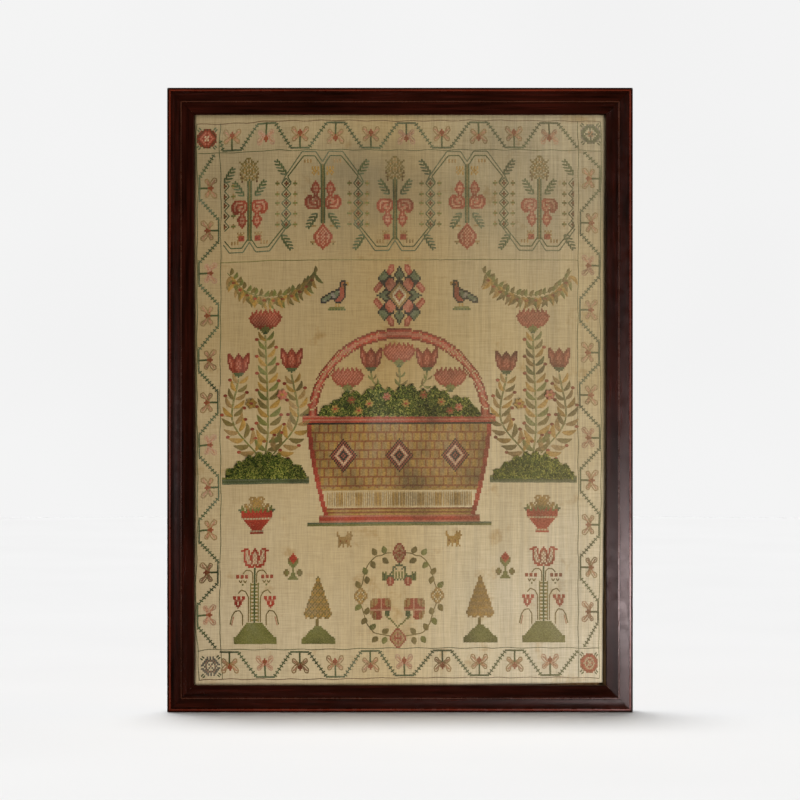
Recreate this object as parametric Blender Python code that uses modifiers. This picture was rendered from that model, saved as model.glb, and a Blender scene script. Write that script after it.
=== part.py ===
"""A cross stitch sampler on linen, stretched over a board in a moulded wooden frame.

The frame hangs on a wall. Its back lies in the plane y = 0, its face looks along -Y and +Z is up.
The origin is the middle of the top rail's back. Lengths are in metres.
"""

import math

import bmesh
import bpy
from mathutils import Matrix, Vector

MM = 0.001

# Driving sizes
FRAME_WIDTH = 466 * MM
FRAME_HEIGHT = 625 * MM
RAIL_WIDTH = 27 * MM
RAIL_DEPTH = 20 * MM
GAP = 0.3 * MM

# Rebate at the back of each rail's inner side
REBATE_WIDTH = 5.5 * MM
REBATE_DEPTH = 11.8 * MM
BACK_BAND = RAIL_WIDTH - REBATE_WIDTH
SIGHT_WIDTH = FRAME_WIDTH - 2 * RAIL_WIDTH
SIGHT_HEIGHT = FRAME_HEIGHT - 2 * RAIL_WIDTH

# Moulding: a rounded outer edge, a slightly crowned band and a hollow that falls to the sight edge
OUTER_ROUND = (1.3 * MM, 2.0 * MM)
CROWN_RISE = 0.2 * MM
CROWN_STEPS = 6
HOLLOW_START = 15.7 * MM
HOLLOW_STEP = 0.1 * MM
HOLLOW_END = (25.3 * MM, 16.9 * MM)
HOLLOW_SAG = 0.4 * MM
HOLLOW_STEPS = 6
SIGHT_ROUND = 1.6 * MM

# Stringing: two thin lines of lighter wood let into each rail. Centres are measured in from its outer
# edge, and depths from its full depth back to the wood beside the line
STRING_HEIGHT = 1.1 * MM
STRING_PROUD = 0.1 * MM
STRING_ROUND = 0.3 * MM
STRINGS = {
    "edge": {"centre": 2.7 * MM, "width": 1.7 * MM, "depth": 0.4 * MM, "colour": (0.20, 0.045, 0.022)},
    "middle": {"centre": 14.0 * MM, "width": 1.3 * MM, "depth": 0.2 * MM, "colour": (0.17, 0.085, 0.045)},
}

# Each rail is made as the top rail, then turned about the frame's centre
RAILS = {
    "top": {"turn": math.radians(0), "length": FRAME_WIDTH, "reach": FRAME_HEIGHT / 2},
    "right": {"turn": math.radians(90), "length": FRAME_HEIGHT, "reach": FRAME_WIDTH / 2},
    "bottom": {"turn": math.radians(180), "length": FRAME_WIDTH, "reach": FRAME_HEIGHT / 2},
    "left": {"turn": math.radians(270), "length": FRAME_HEIGHT, "reach": FRAME_WIDTH / 2},
}
SAW_SPARE = 2 * MM

# Board that the linen is stretched over: a flange in the rebate and a raised field in front of it
BOARD_BACK = 1.2 * MM
FLANGE_FRONT = 4.0 * MM
FIELD_FRONT = 9.3 * MM
FIELD_HALF_WIDTH = 200 * MM
FIELD_ROUND = 2.0 * MM
BOARD_CLEARANCE = 0.5 * MM

# Linen: flat in front of the board's field, its long sides rolled back past the field's edges
LINEN_THICKNESS = 1.2 * MM
LINEN_FRONT = 11.1 * MM
LINEN_HALF_FLAT = 202.9 * MM
ROLL_RADIUS = 3.2 * MM
ROLL_TURN = math.radians(84)
ROLL_DROP = 2.2 * MM
LINEN_TUCK = 4.0 * MM
FLAT_COLUMNS = 20
ROLL_COLUMNS = 5
LINEN_ROWS = 40
SWELL = 0.5 * MM
PUCKER = 0.2 * MM
PUCKER_PITCH = 43 * MM
PUCKER_REACH = 24 * MM
STRAY_REACH = 14 * MM

# How far the rolled sides stray outwards, by height from 0 at the bottom to 1 at the top
LEFT_STRAY = {
    "height": (0.0, 0.05, 0.15, 0.30, 0.45, 0.62, 0.78, 0.90, 1.0),
    "out": (0.8 * MM, 0.1 * MM, 0.8 * MM, 0.1 * MM, -0.4 * MM, 0.2 * MM, 0.5 * MM, -0.1 * MM, 0.3 * MM),
}
RIGHT_STRAY = {
    "height": (0.0, 0.10, 0.22, 0.36, 0.50, 0.66, 0.80, 0.91, 1.0),
    "out": (-2.4 * MM, -2.2 * MM, -1.2 * MM, 0.3 * MM, 0.7 * MM, 0.0 * MM, -0.3 * MM, 0.4 * MM, 0.6 * MM),
}

# The lower edge is tucked away at the left and rises past the sight edge at the right
LOWER_EDGE = {
    "across": (-SIGHT_WIDTH / 2, 20 * MM, 100 * MM, SIGHT_WIDTH / 2),
    "up": (0, 0, LINEN_TUCK, LINEN_TUCK + 2.0 * MM),
}

# A section's plane turned to its place: the rail's second axis and the board's both leave the wall
RAIL_TURN = Matrix(((0, 0, -1), (0, -1, 0), (-1, 0, 0))).to_4x4()
BOARD_TURN = Matrix.Rotation(math.pi, 4, "X")


def clear_scene():
    for obj in list(bpy.data.objects):
        bpy.data.objects.remove(obj)


def new_material(name, colour, roughness):
    material = bpy.data.materials.new(name)
    material.use_nodes = True
    shader = material.node_tree.nodes["Principled BSDF"]
    shader.inputs["Base Color"].default_value = (*colour, 1)
    shader.inputs["Roughness"].default_value = roughness
    shader.inputs["Metallic"].default_value = 0
    material.diffuse_color = (*colour, 1)
    return material


def arc(centre, radii, start_deg, end_deg, steps):
    """Points along part of an ellipse, both ends included."""
    points = []
    for step in range(steps + 1):
        angle = math.radians(start_deg + (end_deg - start_deg) * step / steps)
        points.append((centre[0] + radii[0] * math.cos(angle), centre[1] + radii[1] * math.sin(angle)))
    return points


def bowed(start, end, bow, steps):
    """Points on a shallow bow between two points, neither end included."""
    points = []
    for step in range(1, steps):
        share = step / steps
        rise = bow * math.sin(math.pi * share)
        points.append((start[0] + (end[0] - start[0]) * share, start[1] + (end[1] - start[1]) * share + rise))
    return points


def groove(string):
    """The groove for one string, from its outer lip to its inner lip."""
    half = string["width"] / 2 + GAP
    surface = RAIL_DEPTH - string["depth"]
    floor = surface - STRING_HEIGHT - GAP
    outer = string["centre"] - half
    inner = string["centre"] + half
    return [(outer, surface), (outer, floor), (inner, floor), (inner, surface)]


def rail_section():
    """The moulding: distance in from the outer edge by distance out from the wall."""
    edge = groove(STRINGS["edge"])
    middle = groove(STRINGS["middle"])
    edge_surface = edge[0][1]
    hollow_start = (HOLLOW_START, middle[-1][1] - HOLLOW_STEP)
    sight_centre = (RAIL_WIDTH - SIGHT_ROUND, HOLLOW_END[1] - SIGHT_ROUND)
    return [
        (0, 0),
        *arc((OUTER_ROUND[0], edge_surface - OUTER_ROUND[1]), OUTER_ROUND, 180, 90, 5),
        *edge,
        *bowed(edge[-1], middle[0], CROWN_RISE, CROWN_STEPS),
        *middle,
        hollow_start,
        *bowed(hollow_start, HOLLOW_END, -HOLLOW_SAG, HOLLOW_STEPS),
        *arc(sight_centre, (SIGHT_ROUND, SIGHT_ROUND), 90, 0, 4),
        (RAIL_WIDTH, REBATE_DEPTH),
        (BACK_BAND, REBATE_DEPTH),
        (BACK_BAND, 0),
    ]


def string_section(string):
    """A strip whose two front edges are rubbed round."""
    outer = string["centre"] - string["width"] / 2
    inner = string["centre"] + string["width"] / 2
    surface = RAIL_DEPTH - string["depth"]
    front = surface + STRING_PROUD - STRING_ROUND
    back = surface - STRING_HEIGHT
    radii = (STRING_ROUND, STRING_ROUND)
    return [
        (outer, back),
        *arc((outer + STRING_ROUND, front), radii, 180, 90, 3),
        *arc((inner - STRING_ROUND, front), radii, 90, 0, 3),
        (inner, back),
    ]


def board_section():
    """The board: across the frame by out from the wall, flange and field in one."""
    flange = SIGHT_WIDTH / 2 + REBATE_WIDTH - BOARD_CLEARANCE
    centre = FIELD_FRONT - FIELD_ROUND
    radii = (FIELD_ROUND, FIELD_ROUND)
    right_half = [
        (flange, BOARD_BACK),
        (flange, FLANGE_FRONT),
        (FIELD_HALF_WIDTH, FLANGE_FRONT),
        *arc((FIELD_HALF_WIDTH - FIELD_ROUND, centre), radii, 0, 90, 4),
    ]
    left_half = [(-across, out) for across, out in reversed(right_half)]
    return right_half + left_half


def extruded(name, section, length):
    """A mesh of a closed section in its own XY plane, extruded along Z and centred on it."""
    curve = bpy.data.curves.new(name, "CURVE")
    curve.dimensions = "2D"
    curve.fill_mode = "BOTH"
    curve.extrude = length / 2
    spline = curve.splines.new("POLY")
    spline.points.add(len(section) - 1)
    for point, (x, y) in zip(spline.points, section):
        point.co = (x, y, 0, 1)
    spline.use_cyclic_u = True
    outline = bpy.data.objects.new(name, curve)
    bpy.context.scene.collection.objects.link(outline)
    bpy.context.view_layer.update()
    evaluated = outline.evaluated_get(bpy.context.evaluated_depsgraph_get())
    mesh = bpy.data.meshes.new_from_object(evaluated)
    bpy.data.objects.remove(outline)
    bpy.data.curves.remove(curve)
    bm = bmesh.new()
    bm.from_mesh(mesh)
    bmesh.ops.remove_doubles(bm, verts=bm.verts, dist=0.01 * MM)
    bm.to_mesh(mesh)
    bm.free()
    mesh.name = name
    return mesh


def saw(bm, point, outwards):
    """Cuts away what lies beyond a plane and closes the cut."""
    everything = bm.verts[:] + bm.edges[:] + bm.faces[:]
    cut = bmesh.ops.bisect_plane(
        bm, geom=everything, dist=0.001 * MM, plane_co=point, plane_no=outwards, clear_outer=True
    )
    edges = [item for item in cut["geom_cut"] if isinstance(item, bmesh.types.BMEdge)]
    bmesh.ops.edgenet_fill(bm, edges=edges)


def mitred(name, section, rail):
    """A length of a section in the top rail's place, with both ends sawn at 45 degrees."""
    mesh = extruded(name, section, rail["length"] + SAW_SPARE)
    mesh.transform(Matrix.Translation((0, 0, rail["reach"])) @ RAIL_TURN)
    bm = bmesh.new()
    bm.from_mesh(mesh)
    for side in (-1, 1):
        corner = Vector((side * rail["length"] / 2, 0, rail["reach"]))
        outwards = Vector((side, 0, -1)).normalized()
        saw(bm, corner - outwards * GAP / 2, outwards)
    bmesh.ops.recalc_face_normals(bm, faces=bm.faces)
    bm.to_mesh(mesh)
    bm.free()
    return mesh


def add_piece(name, mesh, material, parts, centre, turn=0):
    mesh.materials.append(material)
    piece = bpy.data.objects.new(name, mesh)
    parts.objects.link(piece)
    piece.parent = centre
    piece.rotation_euler = (0, turn, 0)
    return piece


def add_rails(parts, centre):
    wood = new_material("mahogany", (0.030, 0.009, 0.005), 0.28)
    section = rail_section()
    for side, rail in RAILS.items():
        name = f"rail_{side}"
        add_piece(name, mitred(name, section, rail), wood, parts, centre, rail["turn"])


def add_strings(parts, centre):
    for line, string in STRINGS.items():
        wood = new_material(f"{line}_stringing", string["colour"], 0.35)
        section = string_section(string)
        for side, rail in RAILS.items():
            name = f"{line}_string_{side}"
            add_piece(name, mitred(name, section, rail), wood, parts, centre, rail["turn"])


def add_board(parts, centre):
    pine = new_material("pine", (0.36, 0.24, 0.13), 0.7)
    height = SIGHT_HEIGHT + 2 * (REBATE_WIDTH - BOARD_CLEARANCE)
    mesh = extruded("board", board_section(), height)
    mesh.transform(BOARD_TURN)
    add_piece("board", mesh, pine, parts, centre)


def eased(value, places, amounts):
    """The amount at a value, eased from each listed place to the next."""
    if value <= places[0]:
        return amounts[0]
    for low, high, before, after in zip(places, places[1:], amounts, amounts[1:]):
        if value <= high:
            share = (value - low) / (high - low)
            return before + (after - before) * (0.5 - 0.5 * math.cos(math.pi * share))
    return amounts[-1]


def linen_section():
    """The middle of the linen's thickness, from its left hem to its right: across by out from the wall."""
    front = LINEN_FRONT - LINEN_THICKNESS / 2
    radius = ROLL_RADIUS - LINEN_THICKNESS / 2
    rolled = []
    for step in range(ROLL_COLUMNS, -1, -1):
        turn = ROLL_TURN * step / ROLL_COLUMNS
        rolled.append((LINEN_HALF_FLAT + radius * math.sin(turn), front - radius + radius * math.cos(turn)))
    hem = (rolled[0][0] + ROLL_DROP * math.cos(ROLL_TURN), rolled[0][1] - ROLL_DROP * math.sin(ROLL_TURN))
    right = [hem, *rolled]
    left = [(-across, out) for across, out in right]
    flat = []
    for column in range(1, FLAT_COLUMNS):
        flat.append((LINEN_HALF_FLAT * (2 * column / FLAT_COLUMNS - 1), front))
    return left + flat + right[::-1]


def linen_point(across, out, height):
    """A point of the linen, with its stray sides, swell and puckers, from the section and the height."""
    lower = -SIGHT_HEIGHT / 2 - LINEN_TUCK + eased(across, LOWER_EDGE["across"], LOWER_EDGE["up"])
    upper = SIGHT_HEIGHT / 2 + LINEN_TUCK
    z = lower + (upper - lower) * height
    side = math.copysign(1, across)
    from_side = max(0, LINEN_HALF_FLAT - abs(across))
    stray = RIGHT_STRAY if side > 0 else LEFT_STRAY
    nearness = max(0, 1 - from_side / STRAY_REACH)
    x = across + side * nearness * eased(height, stray["height"], stray["out"])
    inside = max(0, math.cos(math.pi / 2 * min(1, abs(across) / LINEN_HALF_FLAT)))
    swell = SWELL * inside * math.sin(math.pi * height)
    side_pucker = max(0, 1 - from_side / PUCKER_REACH) * math.sin(2 * math.pi * z / PUCKER_PITCH)
    from_end = min(upper - z, z - lower)
    end_pucker = max(0, 1 - from_end / PUCKER_REACH) * math.sin(2 * math.pi * across / PUCKER_PITCH)
    ripple = PUCKER * (side_pucker + end_pucker) / 2 if from_side > 0 else 0
    return Vector((x, -(out + swell + ripple), z))


def add_linen(parts, centre):
    cloth = new_material("linen", (0.42, 0.34, 0.22), 0.9)
    section = linen_section()
    columns = len(section) - 1
    bm = bmesh.new()
    bmesh.ops.create_grid(bm, x_segments=columns, y_segments=LINEN_ROWS, size=1)
    for vert in bm.verts:
        across, out = section[round((vert.co.x + 1) / 2 * columns)]
        vert.co = linen_point(across, out, (vert.co.y + 1) / 2)
    for face in bm.faces:
        face.smooth = True
    mesh = bpy.data.meshes.new("linen")
    bm.to_mesh(mesh)
    bm.free()
    linen = add_piece("linen", mesh, cloth, parts, centre)
    thickness = linen.modifiers.new("thickness", "SOLIDIFY")
    thickness.thickness = LINEN_THICKNESS
    thickness.offset = 0


def main():
    clear_scene()
    parts = bpy.data.collections.new("framed_cross_stitch_sampler")
    bpy.context.scene.collection.children.link(parts)
    centre = bpy.data.objects.new("frame_centre", None)
    centre.location = (0, 0, BACK_BAND / 2 - FRAME_HEIGHT / 2)
    parts.objects.link(centre)
    add_rails(parts, centre)
    add_strings(parts, centre)
    add_board(parts, centre)
    add_linen(parts, centre)


main()
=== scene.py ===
"""The looks of a framed cross stitch sampler: polished rails, old linen and its real stitches.

The frame's and the linen's sizes repeat the CAD model's own. Charts are rows of letters, one letter a
stitch, each letter a thread in THREADS. Lengths are in metres, places on the canvas in stitches.
"""

import math

import bpy
import numpy as np
from mathutils import Matrix, Vector


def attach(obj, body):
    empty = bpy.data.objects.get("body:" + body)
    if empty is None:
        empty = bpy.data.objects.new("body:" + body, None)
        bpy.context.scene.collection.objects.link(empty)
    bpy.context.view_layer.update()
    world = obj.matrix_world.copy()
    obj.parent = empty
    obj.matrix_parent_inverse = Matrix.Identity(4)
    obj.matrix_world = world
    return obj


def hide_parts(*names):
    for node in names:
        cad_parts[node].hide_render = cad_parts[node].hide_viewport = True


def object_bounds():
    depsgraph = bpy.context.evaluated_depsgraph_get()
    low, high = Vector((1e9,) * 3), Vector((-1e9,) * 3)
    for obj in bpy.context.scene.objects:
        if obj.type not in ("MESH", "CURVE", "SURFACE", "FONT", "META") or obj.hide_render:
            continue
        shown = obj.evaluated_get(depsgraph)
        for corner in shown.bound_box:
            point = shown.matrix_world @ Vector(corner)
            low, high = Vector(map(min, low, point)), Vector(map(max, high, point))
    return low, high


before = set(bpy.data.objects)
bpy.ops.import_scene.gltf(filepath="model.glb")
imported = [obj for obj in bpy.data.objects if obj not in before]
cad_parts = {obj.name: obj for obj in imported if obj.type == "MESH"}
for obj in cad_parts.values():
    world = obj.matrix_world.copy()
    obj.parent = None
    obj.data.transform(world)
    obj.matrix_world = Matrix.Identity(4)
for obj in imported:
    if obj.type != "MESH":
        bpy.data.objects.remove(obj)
cad_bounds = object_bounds()

MM = 0.001
rng = np.random.default_rng(18)

FRAME_WIDTH = 466 * MM
FRAME_HEIGHT = 625 * MM
RAIL_WIDTH = 27 * MM
RAIL_DEPTH = 20 * MM
SIGHT_WIDTH = FRAME_WIDTH - 2 * RAIL_WIDTH
SIGHT_HEIGHT = FRAME_HEIGHT - 2 * RAIL_WIDTH
CENTRE_HEIGHT = (cad_bounds[0][2] + cad_bounds[1][2]) / 2

# Linen, as in the CAD model
LINEN_THICKNESS = 1.2 * MM
LINEN_FRONT = 11.1 * MM
LINEN_HALF_FLAT = 202.9 * MM
ROLL_RADIUS = 3.2 * MM
ROLL_TURN = math.radians(84)
ROLL_DROP = 2.2 * MM
LINEN_TUCK = 4.0 * MM
SWELL = 0.5 * MM
PUCKER = 0.2 * MM
PUCKER_PITCH = 43 * MM
PUCKER_REACH = 24 * MM
STRAY_REACH = 14 * MM
LINEN_SLACK = 0.06 * MM
LEFT_STRAY = {
    "height": (0.0, 0.05, 0.15, 0.30, 0.45, 0.62, 0.78, 0.90, 1.0),
    "out": (0.8 * MM, 0.1 * MM, 0.8 * MM, 0.1 * MM, -0.4 * MM, 0.2 * MM, 0.5 * MM, -0.1 * MM, 0.3 * MM),
}
RIGHT_STRAY = {
    "height": (0.0, 0.10, 0.22, 0.36, 0.50, 0.66, 0.80, 0.91, 1.0),
    "out": (-2.4 * MM, -2.2 * MM, -1.2 * MM, 0.3 * MM, 0.7 * MM, 0.0 * MM, -0.3 * MM, 0.4 * MM, 0.6 * MM),
}
LOWER_EDGE = {
    "across": (-SIGHT_WIDTH / 2, 20 * MM, 100 * MM, SIGHT_WIDTH / 2),
    "up": (0, 0, LINEN_TUCK, LINEN_TUCK + 2.0 * MM),
}

# One cross stitch covers a cell of the canvas. Cell (0, 0) is in the middle of the frame
CELL_WIDTH = 1.476 * MM
CELL_HEIGHT = 1.780 * MM
CANVAS_SHIFT = (-0.7 * MM, 1.0 * MM)

# The canvas isn't quite square: how far its rows and columns wander, in cells
TOP_WANDER = {
    "column": (-140, -120, -105, -85, -40, 0, 60, 110, 140),
    "rows": (-1.4, -1.2, -0.6, 0.6, 0.9, 0.5, 0.9, 0.5, 0.2),
}
BOTTOM_WANDER = {
    "column": (-140, -128, -100, -50, 0, 60, 110, 140),
    "rows": (-1.6, -0.6, -0.7, -0.6, 0.2, 0.3, 0.4, 0.0),
}
LEFT_WANDER = {
    "row": (-160, -145, -125, -60, 0, 60, 120, 146, 160),
    "columns": (1.6, 0.6, -0.7, 0.2, -0.4, 0.1, 0.3, -0.9, 0.2),
}
RIGHT_WANDER = {
    "row": (-160, -120, -50, 20, 90, 140, 160),
    "columns": (0.7, 0.1, 0.2, -0.4, 0.2, 0.3, -0.6),
}
CANVAS_HALF_COLUMNS = 137
CANVAS_HALF_ROWS = 157

# Thread colours, as screen values from 0 to 255
THREADS = {
    "r": ("madder", (152, 76, 53)),
    "R": ("dark_madder", (128, 59, 41)),
    "v": ("scarlet", (168, 68, 48)),
    "p": ("rose", (180, 111, 84)),
    "q": ("pale_rose", (182, 134, 100)),
    "c": ("rust", (140, 86, 48)),
    "T": ("fawn", (158, 128, 84)),
    "Q": ("blush", (186, 146, 114)),
    "g": ("dark_green", (86, 92, 56)),
    "m": ("moss", (120, 116, 62)),
    "o": ("olive", (124, 106, 60)),
    "t": ("tan", (158, 126, 76)),
    "y": ("ochre", (170, 132, 66)),
    "b": ("brown", (96, 68, 42)),
    "s": ("sage", (102, 106, 74)),
    "l": ("lilac_grey", (132, 122, 102)),
    "k": ("black", (44, 38, 32)),
    "G": ("pile_green", (96, 108, 44)),
    "M": ("pile_light_green", (168, 164, 78)),
    "D": ("pile_dark_green", (50, 60, 28)),
    "w": ("cream", (194, 174, 134)),
}
WHITE = (255, 255, 255)

# A stitch's arms: half widths, arch and where its shoulders lie along it
ARM_HALF_WIDTH = 0.50 * MM
ARM_ARCH = 0.30 * MM
LONG_HALF_WIDTH = 0.72 * MM
BACK_HALF_WIDTH = 0.58 * MM
LEAF_HALF_WIDTH = 0.86 * MM
UPPER_ARM_RISE = 0.16 * MM
SHOULDER = 0.20
TIP_SINK = 0.10 * MM
ARM_FACES = ((0, 2, 1), (0, 3, 2), (1, 2, 5, 4), (2, 3, 6, 5), (4, 5, 7), (5, 6, 7))

BODY = "root"


def linear(screen):
    """A screen colour from 0 to 255 as the shader's own numbers."""
    out = []
    for value in screen:
        value = value / 255
        out.append(value / 12.92 if value <= 0.04045 else ((value + 0.055) / 1.055) ** 2.4)
    return tuple(out)


def eased(value, places, amounts):
    """Amounts at an array of values, eased from each listed place to the next."""
    value = np.clip(np.asarray(value, float), places[0], places[-1])
    index = np.clip(np.searchsorted(places, value, side="right") - 1, 0, len(places) - 2)
    places = np.asarray(places, float)
    amounts = np.asarray(amounts, float)
    share = (value - places[index]) / (places[index + 1] - places[index])
    share = 0.5 - 0.5 * np.cos(np.pi * share)
    return amounts[index] + (amounts[index + 1] - amounts[index]) * share


def on_linen(across, up, lift=0.0):
    """Points on the linen's front, lifted off it, from distances from the frame's middle."""
    across = np.asarray(across, float)
    up = np.asarray(up, float)
    upper = SIGHT_HEIGHT / 2 + LINEN_TUCK
    lower = -upper
    height = np.clip((up - lower) / (upper - lower), 0, 1)
    side = np.where(across < 0, -1.0, 1.0)
    from_side = LINEN_HALF_FLAT - np.abs(across)
    nearness = np.clip(1 - np.maximum(from_side, 0) / STRAY_REACH, 0, 1)
    left = eased(height, LEFT_STRAY["height"], LEFT_STRAY["out"])
    right = eased(height, RIGHT_STRAY["height"], RIGHT_STRAY["out"])
    stray = np.where(side > 0, right, left) * side * nearness
    radius = ROLL_RADIUS
    turn = np.clip(-from_side / (radius - LINEN_THICKNESS / 2), 0, ROLL_TURN)
    flat = np.minimum(np.abs(across), LINEN_HALF_FLAT)
    x = side * (flat + (radius + lift) * np.sin(turn)) + stray
    out = LINEN_FRONT - radius + (radius + lift) * np.cos(turn)
    inside = np.cos(np.pi / 2 * np.clip(np.abs(across) / LINEN_HALF_FLAT, 0, 1))
    swell = SWELL * inside * np.sin(np.pi * height)
    side_pucker = np.clip(1 - from_side / PUCKER_REACH, 0, 1) * np.sin(2 * np.pi * up / PUCKER_PITCH)
    from_end = np.minimum(upper - up, up - lower)
    end_pucker = np.clip(1 - from_end / PUCKER_REACH, 0, 1) * np.sin(2 * np.pi * across / PUCKER_PITCH)
    ripple = PUCKER * (side_pucker + end_pucker) / 2 * (from_side > 0)
    return np.stack(np.broadcast_arrays(x, -(out + swell + ripple), CENTRE_HEIGHT + up), axis=-1)


def canvas_place(column, row):
    """Where a place on the canvas, in cells, lies on the linen, with the canvas's wander."""
    column = np.asarray(column, float)
    row = np.asarray(row, float)
    top_share = np.clip((row + CANVAS_HALF_ROWS) / (2 * CANVAS_HALF_ROWS), 0, 1)
    right_share = np.clip((column + CANVAS_HALF_COLUMNS) / (2 * CANVAS_HALF_COLUMNS), 0, 1)
    top = eased(column, TOP_WANDER["column"], TOP_WANDER["rows"])
    bottom = eased(column, BOTTOM_WANDER["column"], BOTTOM_WANDER["rows"])
    left = eased(row, LEFT_WANDER["row"], LEFT_WANDER["columns"])
    right = eased(row, RIGHT_WANDER["row"], RIGHT_WANDER["columns"])
    rows = row + bottom + (top - bottom) * top_share
    columns = column + left * (1 - right_share) ** 2 + right * right_share**2
    return columns * CELL_WIDTH + CANVAS_SHIFT[0], rows * CELL_HEIGHT + CANVAS_SHIFT[1]


def new_object(name, mesh):
    piece = bpy.data.objects.new(name, mesh)
    bpy.context.scene.collection.objects.link(piece)
    return piece


# Materials


def node(tree, kind, **inputs):
    made = tree.nodes.new(kind)
    for name, value in inputs.items():
        made.inputs[name.replace("_", " ")].default_value = value
    return made


def noise(tree, vector, scale, detail=2.0, roughness=0.5):
    made = node(tree, "ShaderNodeTexNoise", Scale=scale, Detail=detail, Roughness=roughness)
    tree.links.new(vector, made.inputs["Vector"])
    return made.outputs["Fac"]


def plain(tree):
    """The object's own coordinates."""
    return tree.nodes.new("ShaderNodeTexCoord").outputs["Object"]


def stretched(tree, scale):
    """The object's own coordinates scaled by axis."""
    mapping = node(tree, "ShaderNodeMapping", Scale=scale)
    tree.links.new(plain(tree), mapping.inputs["Vector"])
    return mapping.outputs["Vector"]


def by_axis(tree):
    """The object's own coordinates one by one."""
    split = tree.nodes.new("ShaderNodeSeparateXYZ")
    tree.links.new(plain(tree), split.inputs["Vector"])
    return split.outputs


def ramp(tree, factor, *stops):
    """A colour ramp with stops of (place, screen colour)."""
    made = tree.nodes.new("ShaderNodeValToRGB")
    elements = made.color_ramp.elements
    while len(elements) < len(stops):
        elements.new(1.0)
    for element, (place, colour) in zip(elements, stops):
        element.position = place
        element.color = (*linear(colour), 1)
    tree.links.new(factor, made.inputs["Fac"])
    return made.outputs["Color"]


def feed(tree, value, socket):
    """Links a value to a socket or sets it. A tuple is a screen colour."""
    if isinstance(value, bpy.types.NodeSocket):
        tree.links.new(value, socket)
    elif isinstance(value, tuple):
        socket.default_value = (*linear(value), 1)
    else:
        socket.default_value = value


def mixed(tree, factor, first, second, blend="MIX"):
    made = tree.nodes.new("ShaderNodeMix")
    made.data_type = "RGBA"
    made.blend_type = blend
    for value, socket in ((factor, 0), (first, 6), (second, 7)):
        feed(tree, value, made.inputs[socket])
    return made.outputs[2]


def maths(tree, operation, first, second):
    made = tree.nodes.new("ShaderNodeMath")
    made.operation = operation
    feed(tree, first, made.inputs[0])
    feed(tree, second, made.inputs[1])
    return made.outputs[0]


def map_range(tree, value, low, high, to_low, to_high):
    made = node(tree, "ShaderNodeMapRange", From_Min=low, From_Max=high, To_Min=to_low, To_Max=to_high)
    tree.links.new(value, made.inputs["Value"])
    return made.outputs["Result"]


def bump(tree, height, distance, strength):
    made = node(tree, "ShaderNodeBump", Strength=strength, Distance=distance)
    tree.links.new(height, made.inputs["Height"])
    return made.outputs["Normal"]


def new_material(name, **values):
    """A material with its tree and shader. Values are the shader's own sockets."""
    material = bpy.data.materials.new(name)
    material.use_nodes = True
    shader = material.node_tree.nodes["Principled BSDF"]
    for socket, value in values.items():
        shader.inputs[socket.replace("_", " ")].default_value = value
    return material, material.node_tree, shader


# Threads fade towards one tone in patches, and painted light pales them towards a light tone on the right
# side
FADED_TONE = 168
PAINTED_LIGHT_TONE = (178, 162, 130)


def thread_material(name, colour):
    """Crewel or silk thread: faded in patches, paler towards the right with painted light, uneven from stitch
    to stitch.
    """
    material, tree, shader = new_material(f"thread_{name}", Roughness=0.72, Specular_IOR_Level=0.25)
    deep = tuple(channel * 0.72 for channel in colour)
    faded = tuple(channel + (FADED_TONE - channel) * 0.22 for channel in colour)
    patches = ramp(tree, noise(tree, plain(tree), 26, 3), (0.3, deep), (0.52, colour), (0.74, faded))
    # Painted light: towards the right the threads are mixed towards a pale tone
    painted_light_share = map_range(tree, by_axis(tree)["X"], -0.12, 0.21, 0.0, 0.34)
    patches = mixed(tree, painted_light_share, patches, PAINTED_LIGHT_TONE)
    strands = noise(tree, plain(tree), 620, 2)
    uneven = ramp(tree, strands, (0.25, (150, 150, 150)), (0.75, WHITE))
    tree.links.new(mixed(tree, 0.6, patches, uneven, "MULTIPLY"), shader.inputs["Base Color"])
    fibres = noise(tree, plain(tree), 2600, 2)
    tree.links.new(bump(tree, fibres, 0.1 * MM, 0.5), shader.inputs["Normal"])
    return material


# Greyed patches of the linen: place from the frame's middle, half size, and how strong
SOILED = (
    ((-0.040, 0.225), (0.060, 0.042), 0.55),
    ((0.105, 0.262), (0.050, 0.030), 0.35),
    ((-0.150, 0.235), (0.050, 0.050), 0.20),
    ((0.060, 0.205), (0.150, 0.060), 0.18),
    ((0.070, -0.190), (0.012, 0.050), 0.15),
    ((0.160, -0.190), (0.022, 0.035), 0.14),
)


def soft_spot(tree, centre, radii, strength):
    """A value that falls from strength at a place of the linen to nothing at its radii."""
    location = (centre[0], 0, CENTRE_HEIGHT + centre[1])
    mapping = node(tree, "ShaderNodeMapping", Location=location, Scale=(radii[0], 1, radii[1]))
    mapping.vector_type = "TEXTURE"
    tree.links.new(plain(tree), mapping.inputs["Vector"])
    length = tree.nodes.new("ShaderNodeVectorMath")
    length.operation = "LENGTH"
    tree.links.new(mapping.outputs["Vector"], length.inputs[0])
    ragged = noise(tree, mapping.outputs["Vector"], 2.2, 3)
    away = maths(tree, "ADD", length.outputs["Value"], map_range(tree, ragged, 0.2, 0.8, -0.35, 0.35))
    return map_range(tree, away, 0.25, 1.2, strength, 0.0)


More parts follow.
